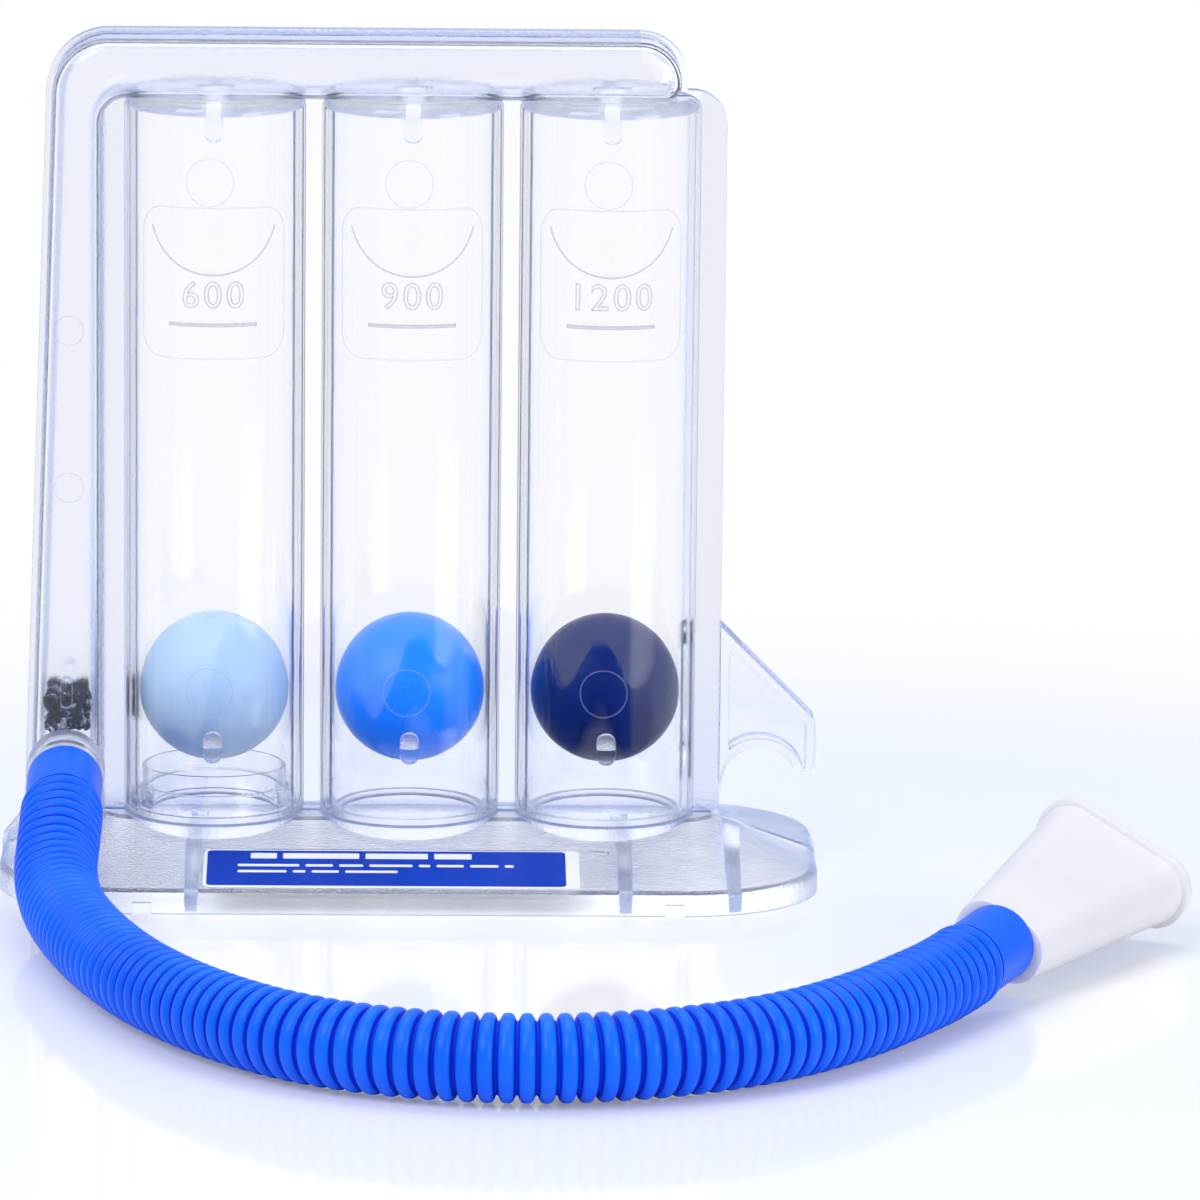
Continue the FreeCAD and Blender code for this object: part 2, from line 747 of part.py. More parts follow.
def build_port():
    """The inlet port: a stepped collar on the duct's face, and a tapered nozzle for the hose."""
    skew = f"port_collar * tan(port_droop) + {CLEAR}"
    reach = "2 * port_collar"
    collar = along_port(turned("port_collar_form", [
        ("port_bore", f"-({skew})", None),
        ("port_collar", f"-({skew})", None),
        ("port_collar", "collar_length", None),
        ("port_step", "collar_length", None),
        ("port_step", "port_length", None),
        ("nozzle_radius", "port_length", None),
        ("nozzle_tip", "port_length + nozzle_length", None),
        ("port_bore", "port_length + nozzle_length", None),
    ]))
    wall = box(
        "port_behind", f"2 * {reach}", "2 * duct_half_depth", f"2 * {reach}",
        f"-port_across - {reach}", "-duct_half_depth", f"port_middle - {reach}",
    )
    spigot = along_port(turned("port_spigot", [
        ("port_bore", "-(duct_wall + spigot_gap)", None),
        ("spigot_radius", "-(duct_wall + spigot_gap)", None),
        ("spigot_radius", "collar_length", None),
        ("port_bore", "collar_length", None),
    ]))
    return fuse("port", [cut("port_front", collar, wall), spigot])


def build_cuff(name):
    """A plain cuff of the hose: its Z axis runs from its open end to the hose."""
    lip = "cuff_length - cuff_lip"
    return turned(name, [
        ("nozzle_radius + cuff_gap", "0", None),
        ("cuff_radius", "0", None),
        ("cuff_radius", lip, None),
        ("cuff_radius + cuff_flare", "cuff_length", None),
        ("hose_bore", "cuff_length", None),
        ("hose_bore", lip, None),
        ("nozzle_radius + cuff_gap", lip, None),
    ])


def build_port_cuff():
    """The cuff that is pushed on the nozzle, up to the port's step."""
    body = along_port(build_cuff("port_cuff"))
    place(body, "-port_across", "-duct_half_depth - port_length * cos(port_droop)",
          "port_middle - port_length * sin(port_droop)")
    return body


def hose_end():
    """The hose's last point and the way that it leads."""
    last = Vector(*HOSE_POINTS[-1])
    return last, (last - Vector(*HOSE_POINTS[-2])).normalize()


def build_mouth_cuff():
    """The cuff at the hose's far end, open toward the mouthpiece."""
    body = build_cuff("mouth_cuff")
    last, way = hose_end()
    body.Placement = Placement(last + way * value("cuff_length"), Rotation(Vector(0, 0, 1), way * -1))
    return body


def lozenge(name, half_wide, half_high, radius, up):
    """A flat rounded outline at a height on the Z axis."""
    outline = free_outline(name, rectangle(half_wide, half_high, radius))
    place(outline, "0", "0", up)
    return outline


def flat_horn(name, spare, low, high):
    """A horn with straight sides from the neck to the wide mouth, smaller all round by a wall."""
    neck = ("mouth_neck_wide", "mouth_neck_high", "mouth_neck_corner")
    mouth = ("mouth_wide", "mouth_high", "mouth_corner")
    item = doc.addObject("Part::Loft", name)
    item.Sections = [
        lozenge(f"{name}_neck", *[f"{size} - {spare}" for size in neck], low),
        lozenge(f"{name}_mouth", *[f"{size} - {spare}" for size in mouth], high),
    ]
    item.Solid = True
    item.Ruled = True
    return item


def build_mouthpiece():
    """The flared flat mouthpiece: its spigot goes into the cuff, and its Z axis points to the lips."""
    outer = flat_horn("mouth_horn", "0", "mouth_seat_gap", "mouth_length")
    rim = doc.addObject("Part::Extrusion", "mouth_bead")
    rim.Base = lozenge("mouth_bead_outline", "mouth_wide + mouth_rim", "mouth_high + mouth_rim",
                       "mouth_corner + mouth_rim", "mouth_length - mouth_rim_height")
    rim.DirMode = "Normal"
    rim.Solid = True
    tie(rim, {"LengthFwd": "mouth_rim_height"})
    reach = "mouth_spigot_length + mouth_seat_gap"
    spigot = cylinder("mouth_spigot", "mouth_spigot_radius", f"{reach} + mouth_wall",
                      "0", "0", "-mouth_spigot_length")
    inside = flat_horn("mouth_throat", "mouth_wall", "mouth_seat_gap + mouth_wall", "mouth_length")
    bore = cylinder("mouth_bore", "mouth_spigot_radius - spigot_wall", f"{reach} + 2 * mouth_wall + {CLEAR}",
                    "0", "0", f"-mouth_spigot_length - {CLEAR}")
    solid = fuse("mouth_solid", [outer, rim, spigot])
    mouthpiece = cut("mouthpiece_form", solid, fuse("mouth_hollow", [inside, bore]))
    last, way = hose_end()
    right = way.cross(Vector(0, 0, 1)).normalize()
    level = Rotation(right, way.cross(right) * -1, way, "ZXY")
    roll = Rotation(Vector(0, 0, 1), value("mouth_roll"))
    mouthpiece.Placement = Placement(last + way * value("cuff_length"), level * roll)
    return mouthpiece


# Hose

def hose_path(points):
    """A path of straight runs joined by tangent arcs, and the arcs' radii."""
    edges = []
    radii = []
    start = points[0]
    for index in range(1, len(points) - 1):
        before = points[index - 1] - points[index]
        after = points[index + 1] - points[index]
        reach = HOSE_REACH * min(before.Length, after.Length)
        half = before.getAngle(after) / 2
        radius = reach * math.tan(half)
        before.normalize()
        after.normalize()
        inward = (before + after).normalize()
        into = points[index] + before * reach
        out = points[index] + after * reach
        middle = points[index] + inward * (radius / math.sin(half) - radius)
        edges.append(Part.LineSegment(start, into).toShape())
        edges.append(Part.Arc(into, middle, out).toShape())
        radii.append(radius)
        start = out
    edges.append(Part.LineSegment(start, points[-1]).toShape())
    return Part.Wire(edges), radii


def build_hose():
    """The hose as a plain tube along its path, and the path's length."""
    points = [Vector(*spot) for spot in HOSE_POINTS]
    path, radii = hose_path(points)
    lead = points[1] - points[0]
    tubes = []
    for radius in (value("hose_radius"), value("hose_bore")):
        ring = Part.Wire([Part.Circle(points[0], lead, radius).toShape()])
        tubes.append(path.makePipeShell([ring], True, False))
    hose = doc.addObject("Part::Feature", "hose_tube")
    hose.Shape = tubes[0].cut(tubes[1])
    hose.Placement = Placement()
    section = math.pi * (value("hose_radius") ** 2 - value("hose_bore") ** 2)
    print("hose radii", [round(radius, 1) for radius in radii])
    print("hose length", round(path.Length, 1), "volume", round(hose.Shape.Volume),
          "section by length", round(section * path.Length), "lowest", round(hose.Shape.BoundBox.ZMin, 3))
    return hose


def build_filter():
    """The foam filter that fills the duct above the inlet, notched round the pegs that hold it down."""
    lean = f"(duct_foot_left - duct_head_left) * (filter_high - seat_height) / ({DUCT_TOP} - seat_height)"
    left = f"duct_foot_left - duct_wall - filter_gap - {lean}"
    right = "duct_inner_edge + duct_wall + filter_gap"
    half_depth = "duct_half_depth - duct_wall - filter_gap"
    corner = "duct_round - duct_wall - filter_gap"
    block = column("filter_block", [
        (f"-({left})", f"-({half_depth})", corner),
        (f"-({right})", f"-({half_depth})", corner),
        (f"-({right})", half_depth, corner),
        (f"-({left})", half_depth, corner),
    ], "filter_low", "filter_high")
    room = wall_pair(
        "peg_room", "-port_across", "peg_width + 2 * filter_gap", "peg_low - filter_gap", "peg_high",
        "duct_half_depth", "peg_reach + duct_wall + filter_gap",
    )
    return cut("filter", block, room)


# The whole

tower = build_tower()
NODES = {
    "base": build_base(),
    "front_shell": common("tower_front", [tower, half_space("space_in_front", f"-{LONG} / 2")]),
    "rear_shell": common("tower_rear", [tower, half_space("space_behind", "0")]),
    "tube_holder": build_holder(),
    "flow_ring": build_ring(),
    "inlet_port": build_port(),
    "port_filter": build_filter(),
    "label": plate_on_slope(
        "label_plate", "label_left", "label_right", "0", "-recess_depth", "label_thickness"
    ),
    "hose": build_hose(),
    "hose_cuff_port": build_port_cuff(),
    "hose_cuff_mouthpiece": build_mouth_cuff(),
    "mouthpiece": build_mouthpiece(),
}
for flow, step in CHAMBERS.items():
    NODES[f"ball_{flow}"] = build_ball(flow, step)
doc.recompute()

for item in doc.Objects:
    if {"Invalid", "Error"} & set(item.State):
        raise RuntimeError(f"{item.Name} could not be built: {item.State}")
os.makedirs("parts", exist_ok=True)
for name, item in NODES.items():
    item.Label = name
    if item.Shape.isNull() or not item.Shape.isValid():
        raise RuntimeError(f"{name} has no valid shape")
    item.Shape.exportStep(f"parts/{name}.step")
    bounds = item.Shape.BoundBox
    print(name, len(item.Shape.Solids), "solids", round(item.Shape.Volume), "mm3", bounds)
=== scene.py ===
import math

import bpy
from mathutils import Matrix, Vector


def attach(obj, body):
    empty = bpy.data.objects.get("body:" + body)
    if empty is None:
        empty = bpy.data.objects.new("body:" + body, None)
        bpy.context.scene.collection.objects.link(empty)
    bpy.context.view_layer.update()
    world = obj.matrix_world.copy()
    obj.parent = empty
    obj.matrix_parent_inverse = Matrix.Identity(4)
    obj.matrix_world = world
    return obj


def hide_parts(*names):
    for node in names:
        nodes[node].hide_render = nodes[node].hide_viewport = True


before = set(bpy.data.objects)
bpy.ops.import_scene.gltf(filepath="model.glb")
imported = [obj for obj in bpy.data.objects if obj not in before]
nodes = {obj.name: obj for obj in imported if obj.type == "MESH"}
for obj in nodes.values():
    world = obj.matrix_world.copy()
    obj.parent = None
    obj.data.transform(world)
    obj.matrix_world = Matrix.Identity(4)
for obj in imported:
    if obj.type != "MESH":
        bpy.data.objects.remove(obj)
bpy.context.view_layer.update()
scene = bpy.context.scene
MM = 0.001
LIGHT_BOUNCES = 32
scene.view_settings.view_transform = "Standard"
scene.cycles.max_bounces = LIGHT_BOUNCES
scene.cycles.transmission_bounces = LIGHT_BOUNCES
scene.cycles.transparent_max_bounces = LIGHT_BOUNCES

# Camera at the photograph's viewing angle

CAMERA_PLACE = Vector((0.0, -1.5, 0.338))
CAMERA_PITCH = math.radians(10.9)
CAMERA_YAW = math.radians(1.289)
CAMERA_ROLL = 0.0105
CAMERA_LENS = 257.6
SENSOR_WIDTH = 36.0
CLIP_NEAR = 0.05
CLIP_FAR = 50.0


def add_camera():
    data = bpy.data.cameras.new("camera")
    data.lens = CAMERA_LENS
    data.sensor_width = SENSOR_WIDTH
    data.clip_start = CLIP_NEAR
    data.clip_end = CLIP_FAR
    camera = bpy.data.objects.new("camera", data)
    scene.collection.objects.link(camera)
    camera.matrix_world = (
        Matrix.Translation(CAMERA_PLACE)
        @ Matrix.Rotation(-CAMERA_YAW, 4, "Z")
        @ Matrix.Rotation(math.pi / 2 - CAMERA_PITCH, 4, "X")
        @ Matrix.Rotation(CAMERA_ROLL, 4, "Z")
    )
    scene.camera = camera


# Tools for materials

def new_material(name):
    material = bpy.data.materials.new(name)
    material.use_nodes = True
    material.node_tree.nodes.clear()
    return material, material.node_tree


def add_node(tree, kind, **values):
    node = tree.nodes.new(kind)
    for key, value in values.items():
        setattr(node, key, value)
    return node


def mixed(tree, share, first, second):
    """Two shaders mixed: the first where the share is 0, the second where it is 1."""
    mix = add_node(tree, "ShaderNodeMixShader")
    tree.links.new(share, mix.inputs["Fac"])
    tree.links.new(first, mix.inputs[1])
    tree.links.new(second, mix.inputs[2])
    return mix.outputs["Shader"]


def finish_surface(tree, socket):
    """End a material's tree with its surface."""
    output = add_node(tree, "ShaderNodeOutputMaterial")
    tree.links.new(socket, output.inputs["Surface"])


def linear(red, green, blue):
    """A colour given in 0 to 255 as seen on a screen, in linear light."""
    def one(value):
        value /= 255
        return value / 12.92 if value <= 0.04045 else ((value + 0.055) / 1.055) ** 2.4
    return one(red), one(green), one(blue), 1.0


def object_noise(tree, scale, detail=3.0, roughness=0.55):
    """Soft noise fixed to the object, so that it moves with its piece."""
    place = add_node(tree, "ShaderNodeTexCoord")
    noise = add_node(tree, "ShaderNodeTexNoise")
    noise.inputs["Scale"].default_value = scale
    noise.inputs["Detail"].default_value = detail
    noise.inputs["Roughness"].default_value = roughness
    tree.links.new(place.outputs["Object"], noise.inputs["Vector"])
    return noise.outputs["Fac"]


def ramp(tree, source, stops):
    node = add_node(tree, "ShaderNodeValToRGB")
    elements = node.color_ramp.elements
    while len(elements) < len(stops):
        elements.new(0.5)
    for element, (place, colour) in zip(elements, stops):
        element.position = place
        element.color = colour
    tree.links.new(source, node.inputs["Fac"])
    return node.outputs["Color"]


def bump(tree, source, strength, distance):
    node = add_node(tree, "ShaderNodeBump")
    node.inputs["Strength"].default_value = strength
    node.inputs["Distance"].default_value = distance
    tree.links.new(source, node.inputs["Height"])
    return node.outputs["Normal"]


PLASTIC_IOR = 1.46
SHEEN_ROUGHNESS = 0.35
SHEEN_TINT = (0.58, 0.68, 1.0, 1.0)
SHADOW_TINT = (0.93, 0.94, 0.97, 1.0)
EDGE_BLEND = 0.22
EDGE_START = 0.55
WAVE_SCALE = 90.0
WAVE_HEIGHT = 0.4 * MM
GRAIN_SCALE = 1500.0
GRAIN_HEIGHT = 0.3 * MM


def clear_plastic(name, face, edge, roughness=0.02, wave=0.1, grain=0.0, sheen=0.8):
    """Clear moulded plastic: it lets lamps through, and its colour is darkened where it is seen edge on, as
    painted shade for the dark edges that bent light gives.
    """
    material, tree = new_material(name)
    shader = add_node(tree, "ShaderNodeBsdfPrincipled")
    shader.inputs["Transmission Weight"].default_value = 1.0
    shader.inputs["Roughness"].default_value = roughness
    shader.inputs["IOR"].default_value = PLASTIC_IOR
    shader.inputs["Sheen Weight"].default_value = sheen
    shader.inputs["Sheen Roughness"].default_value = SHEEN_ROUGHNESS
    shader.inputs["Sheen Tint"].default_value = SHEEN_TINT
    # Painted shade: a darker lavender colour towards the faces that are seen edge on
    weight = add_node(tree, "ShaderNodeLayerWeight")
    weight.inputs["Blend"].default_value = EDGE_BLEND
    colour = ramp(tree, weight.outputs["Facing"], [(0.0, face), (EDGE_START, face), (1.0, edge)])
    tree.links.new(colour, shader.inputs["Base Color"])
    normal = bump(tree, object_noise(tree, WAVE_SCALE, detail=2.0), wave, WAVE_HEIGHT)
    if grain:
        second = add_node(tree, "ShaderNodeBump")
        second.inputs["Strength"].default_value = grain
        second.inputs["Distance"].default_value = GRAIN_HEIGHT
        tree.links.new(object_noise(tree, GRAIN_SCALE, detail=4.0, roughness=0.7), second.inputs["Height"])
        tree.links.new(normal, second.inputs["Normal"])
        normal = second.outputs["Normal"]
    tree.links.new(normal, shader.inputs["Normal"])
    through = add_node(tree, "ShaderNodeBsdfTransparent")
    through.inputs["Color"].default_value = SHADOW_TINT
    path = add_node(tree, "ShaderNodeLightPath")
    shadow = path.outputs["Is Shadow Ray"]
    finish_surface(tree, mixed(tree, shadow, shader.outputs["BSDF"], through.outputs["BSDF"]))
    return material


SPREAD_LOW = 0.3
SPREAD_HIGH = 0.7
TEXTURE_SCALE = 900.0
TEXTURE_HEIGHT = 0.3 * MM
SUBSURFACE_DEPTH = 4.0 * MM


def spread(tree, scale, low, high, detail=3.0):
    """Two colours, or two values, mixed by soft noise."""
    return ramp(tree, object_noise(tree, scale, detail), [(SPREAD_LOW, low), (SPREAD_HIGH, high)])


def solid_plastic(name, low, high, scale, roughness, gloss=0.5, subsurface=0.0, texture=0.08):
    """Moulded plastic of one colour that varies a little, with a faint moulded texture."""
    material, tree = new_material(name)
    shader = add_node(tree, "ShaderNodeBsdfPrincipled")
    tree.links.new(spread(tree, scale, low, high), shader.inputs["Base Color"])
    least, most = roughness
    shine = spread(tree, scale * 3, (least,) * 3 + (1,), (most,) * 3 + (1,), detail=4.0)
    tree.links.new(shine, shader.inputs["Roughness"])
    normal = bump(tree, object_noise(tree, TEXTURE_SCALE), texture, TEXTURE_HEIGHT)
    tree.links.new(normal, shader.inputs["Normal"])
    shader.inputs["Specular IOR Level"].default_value = gloss
    if subsurface:
        shader.inputs["Subsurface Weight"].default_value = subsurface
        shader.inputs["Subsurface Scale"].default_value = SUBSURFACE_DEPTH
        shader.inputs["Subsurface Radius"].default_value = (1.0, 1.0, 1.0)
    finish_surface(tree, shader.outputs["BSDF"])
    return material


MARK_SCALE = 60.0
MARK_ROUGHNESS = 0.3


def mark_material(name, alpha):
    """The fine raised lines of the mould: they are real raised geometry, and their grey, partly see-through
    colour is painted shade for how their clear edges bend the light.
    """
    material, tree = new_material(name)
    shader = add_node(tree, "ShaderNodeBsdfPrincipled")
    # Painted shade: grey colours that stand for the shading of the clear raised lines
    colour = spread(tree, MARK_SCALE, linear(176, 180, 196), linear(188, 192, 206))
    tree.links.new(colour, shader.inputs["Base Color"])
    shader.inputs["Roughness"].default_value = MARK_ROUGHNESS
    shader.inputs["Alpha"].default_value = alpha
    finish_surface(tree, shader.outputs["BSDF"])
    return material


FOAM_SCALE = 420.0
FOAM_ROUGHNESS = 0.95
FOAM_BUMP_SCALE = 700.0
FOAM_BUMP = 0.8
FOAM_BUMP_HEIGHT = 1.0 * MM


def foam_material():
    material, tree = new_material("filter_foam")
    shader = add_node(tree, "ShaderNodeBsdfPrincipled")
    colour = ramp(tree, object_noise(tree, FOAM_SCALE, detail=5.0, roughness=0.75), [
        (0.46, linear(4, 5, 10)), (0.53, linear(24, 27, 44)), (0.61, linear(186, 190, 208)),
    ])
    tree.links.new(colour, shader.inputs["Base Color"])
    shader.inputs["Roughness"].default_value = FOAM_ROUGHNESS
    normal = bump(tree, object_noise(tree, FOAM_BUMP_SCALE, detail=4.0), FOAM_BUMP, FOAM_BUMP_HEIGHT)
    tree.links.new(normal, shader.inputs["Normal"])
    finish_surface(tree, shader.outputs["BSDF"])
    return material


FOAM_LUMP = 1.5 * MM
FOAM_CONTRAST = 1.8
FOAM_GRID = 0.3 * MM
FOAM_DEPTH = 2.4 * MM


def ruffle_foam(item):
    """Open the foam block's faces into ragged lumps that stay inside its own outline."""
    lumps = bpy.data.textures.new("foam_lumps", "CLOUDS")
    lumps.noise_scale = FOAM_LUMP
    lumps.noise_depth = 3
    lumps.contrast = FOAM_CONTRAST
    grid = item.modifiers.new("grid", "REMESH")
    grid.mode = "VOXEL"
    grid.voxel_size = FOAM_GRID
    ragged = item.modifiers.new("ragged", "DISPLACE")
    ragged.texture = lumps
    ragged.strength = FOAM_DEPTH
    ragged.mid_level = 1.0


# Tools for meshes

def mesh_piece(name, points, faces, material, body, smooth=True):
    mesh = bpy.data.meshes.new(name)
    mesh.from_pydata([tuple(point) for point in points], [], faces)
    mesh.validate()
    if smooth:
        mesh.polygons.foreach_set("use_smooth", [True] * len(mesh.polygons))
    mesh.update()
    mesh.materials.append(material)
    piece = bpy.data.objects.new(name, mesh)
    scene.collection.objects.link(piece)
    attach(piece, body)
    return piece


SMOOTH_ANGLE = 35.0
ROUND_ANGLE = 180.0


def dress(node, material, angle=SMOOTH_ANGLE):
    """Give a CAD node its material and smooth shading across its small facets."""
    item = nodes[node]
    item.data.materials.clear()
    item.data.materials.append(material)
    for polygon in item.data.polygons:
        polygon.use_smooth = True
    item.data.set_sharp_from_angle(angle=math.radians(angle))
    return item


# Places on the tower, in millimetres unless they are multiplied by MM, and the shells' material slots
WELD_REACH = 0.002 * MM
WALL_RADIUS = 16.0
CHAMBER_PITCH = 34.8
TUBE_REACH = 16.4
NUB_REACH = 13.7
FLANGE_REACH = 1.5 * MM
CEILING_HEIGHT = 137.0
WELD_SLOT = 1
FRAME_SLOT = 2
NUB_SLOT = 3
FLANGE_SLOT = 4


def tube_distance(spot):
    """How far a place of a shell is from the middle line of the nearest chamber, in millimetres."""
    return min(math.hypot(spot.x / MM - step * CHAMBER_PITCH, spot.y / MM) for step in (-1, 0, 1))


def on_nub(spots):
    """Whether a face of a shell belongs to a nub that carries or stops a ball."""
    return min(map(tube_distance, spots)) < NUB_REACH and max(spot.z for spot in spots) < CEILING_HEIGHT * MM


def join_shells(frame_material, nub_material, flange_material):
    """The two shells are welded on one plane: light goes through the joined faces unbent.
    The duct and the flange are tinted greyer than the polished chambers, as painted shade for how their walls
    dim and bend the light, and the nubs are matt."""
    weld_material, tree = new_material("weld")
    through = add_node(tree, "ShaderNodeBsdfTransparent")
    finish_surface(tree, through.outputs["BSDF"])
    for name in ("front_shell", "rear_shell"):
        item = nodes[name]
        for material in (weld_material, frame_material, nub_material, flange_material):
            item.data.materials.append(material)
        spots = [item.matrix_world @ vertex.co for vertex in item.data.vertices]
        for polygon in item.data.polygons:
            corners = [spots[corner] for corner in polygon.vertices]
            if all(abs(corner.y) < WELD_REACH for corner in corners):
                polygon.material_index = WELD_SLOT
            elif max(map(tube_distance, corners)) > TUBE_REACH:
                in_flange = all(abs(corner.y) < FLANGE_REACH for corner in corners)
                polygon.material_index = FLANGE_SLOT if in_flange else FRAME_SLOT
            elif on_nub(corners):
                polygon.material_index = NUB_SLOT


# Hose route: the middle line from the port's cuff to the mouthpiece's cuff, in millimetres

HOSE_POINTS = [
    (-60.8, -27.34, 16.31),
    (-60.8, -38.2, 14.0),
    (-61.2, -50.5, 10.0),
    (-59.4, -64.5, 7.6),
    (-55.8, -82.0, 7.3),
    (-50.2, -102.5, 7.3),
    (-42.6, -122.5, 7.3),
    (-31.6, -141.8, 7.3),
    (-17.2, -158.4, 7.3),
    (1.5, -168.0, 7.3),
    (22.0, -170.6, 7.3),
    (42.5, -166.1, 7.3),
    (60.8, -154.9, 7.3),
    (74.2, -139.2, 7.3),
    (83.0, -124.6, 7.3),
    (89.43, -113.1, 7.32),
    (93.15, -106.05, 8.0),
]
HOSE_RADIUS = 7.25 * MM
HOSE_PITCH = 3.1 * MM
HOSE_SIDES = 48
LINING_STEPS = 60
ROUTE_STEPS = 24
LEAST_SPAN = 1e-9


def route_line(points):
    """The points of a smooth line through the route, read back from its own spline."""
    curve = bpy.data.curves.new("hose_route", "CURVE")
    curve.dimensions = "3D"
    curve.resolution_u = ROUTE_STEPS
    spline = curve.splines.new("NURBS")
    spline.points.add(len(points) - 1)
    for item, spot in zip(spline.points, points):
        item.co = (spot[0] * MM, spot[1] * MM, spot[2] * MM, 1.0)
    spline.order_u = 3
    spline.use_endpoint_u = True
    holder = bpy.data.objects.new("hose_route", curve)
    scene.collection.objects.link(holder)
    bpy.context.view_layer.update()
    mesh = bpy.data.meshes.new_from_object(holder)
    line = [vertex.co.copy() for vertex in mesh.vertices]
    bpy.data.objects.remove(holder)
    bpy.data.meshes.remove(mesh)
    bpy.data.curves.remove(curve)
    return line


def frames_along(line):
    """Distances along a line, and at each point its direction and two directions across it."""
    distances = [0.0]
    for before, after in zip(line, line[1:]):
        distances.append(distances[-1] + (after - before).length)
    ways = []
    for index in range(len(line)):
        before = line[max(index - 1, 0)]
        after = line[min(index + 1, len(line) - 1)]
        ways.append((after - before).normalized())
    side = ways[0].cross(Vector((0, 0, 1))).normalized()
    frames = []
    for way in ways:
        side = (side - way * side.dot(way)).normalized()
        frames.append((way, side, way.cross(side).normalized()))
    return distances, frames


def sweep(line, stations):
    """Rings along a line for stations of (distance, radius), joined by faces."""
    distances, frames = frames_along(line)
    points = []
    faces = []
    index = 0
    for distance, radius in stations:
        while index < len(distances) - 2 and distances[index + 1] < distance:
            index += 1
        span = max(distances[index + 1] - distances[index], LEAST_SPAN)
        share = min(max((distance - distances[index]) / span, 0.0), 1.0)
        middle = line[index].lerp(line[index + 1], share)
        side = frames[index][1].lerp(frames[index + 1][1], share).normalized()
        over = frames[index][2].lerp(frames[index + 1][2], share).normalized()
        for step in range(HOSE_SIDES):
            angle = 2 * math.pi * step / HOSE_SIDES
            points.append(middle + side * (math.cos(angle) * radius) + over * (math.sin(angle) * radius))
    for ring in range(len(stations) - 1):
        first = ring * HOSE_SIDES
        second = first + HOSE_SIDES
        for step in range(HOSE_SIDES):
            following = (step + 1) % HOSE_SIDES
            faces.append((first + step, first + following, second + following, second + step))
    return points, faces


# Each ridge, as shares of the pitch and drops from the crest in millimetres
CREST = [(0.0, -1.35), (0.07, -1.15), (0.14, -0.62), (0.23, -0.22), (0.35, -0.04), (0.5, 0.0), (0.65, -0.04),
         (0.77, -0.22), (0.86, -0.62), (0.93, -1.15)]
GROOVE_DEPTH = 1.35
# Rings of each ridge that lie in the groove and take the darker blue as painted shade
SHADED_GROOVE_RINGS = (0, 1, 8, 9)
GROOVE_SHADE_SLOT = 1
HOSE_BORE = 5.4 * MM


def build_hose(material, groove):
    """The corrugated hose: rounded crests with narrow grooves that carry a darker blue as painted shade, and
    a smooth bore.
    """
    line = route_line(HOSE_POINTS)
    distances, _ = frames_along(line)
    length = distances[-1]
    count = round(length / HOSE_PITCH)
    pitch = length / count
    stations = []
    for ring in range(count):
        for share, drop in CREST:
            stations.append(((ring + share) * pitch, HOSE_RADIUS + drop * MM))
    stations.append((length, HOSE_RADIUS - GROOVE_DEPTH * MM))
    inner = [(step * length / LINING_STEPS, HOSE_BORE) for step in range(LINING_STEPS + 1)]
    points, faces = sweep(line, stations)
    lining, lining_faces = sweep(line, inner)
    shift = len(points)
    faces += [tuple(reversed([corner + shift for corner in face])) for face in lining_faces]
    points += lining
    last_outer = (len(stations) - 1) * HOSE_SIDES
    last_inner = shift + (len(inner) - 1) * HOSE_SIDES
    for step in range(HOSE_SIDES):
        following = (step + 1) % HOSE_SIDES
        faces.append((following, step, shift + step, shift + following))
        faces.append((last_outer + step, last_outer + following, last_inner + following, last_inner + step))
    hose = mesh_piece("hose_tube", points, faces, material, "tower")
    hose.data.materials.append(groove)
    # Painted shade: the groove faces get the darker blue
    for index in range(last_outer):
        if index // HOSE_SIDES % len(CREST) in SHADED_GROOVE_RINGS:
            hose.data.polygons[index].material_index = GROOVE_SHADE_SLOT
    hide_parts("hose")


# Marks moulded on the chambers' front walls and on the duct, in millimetres and degrees

DUCT_FACE = -10.0
MARK_SINK = 0.05
MARK_WIDTH = 0.34
MARK_RISE = 0.12
NUMBER_CAP = 0.68
NUMBER_HEIGHT = 4.5
NUMBER_FOOT = 103.7
NUMBER_LINE = 0.13
NUMBER_SPACING = 1.2
RULE_HALF = 8
RULE_HEIGHT = 100.6
RULE_WIDTH = 0.7
BOW_HEIGHT = 121.7
BOW_RADIUS = 12.3
BOW_ANGLES = (198, 342)
BOW_STEPS = 40
FRAME_HALF = 14.0
FRAME_LOW = 94.6
FRAME_HIGH = 121.2
FRAME_CORNER = 4.5
FRAME_STEPS = 10
FRAME_CORNER_STEPS = 9
FRAME_WIDTH = 0.3
FRAME_RISE = 0.08
RING_HEIGHTS = {"low": 35.2, "high": 125.7}
RING_ACROSS = -0.6
RING_RADIUS = 4.2
RING_SIDES = 72
RING_WIDTH = 0.26
RING_RISE = 0.1
DUCT_RING_HEIGHTS = {"low": 70.5, "high": 98.5}
DUCT_RING_ACROSS = -60.2
DUCT_RING_RADIUS = 2.6
DUCT_RING_SIDES = 36


def on_chamber(middle):
    """A map from a flat drawing to the front wall of the chamber at a place across the tower."""
    def spot(across, up, out):
        angle = across / WALL_RADIUS
        reach = WALL_RADIUS + out
        return Vector((middle + reach * math.sin(angle), -reach * math.cos(angle), up)) * MM
    return spot


def on_duct(across, up, out):
    """A point of a flat drawing on the duct's front face."""
    return Vector((across, DUCT_FACE - out, up)) * MM


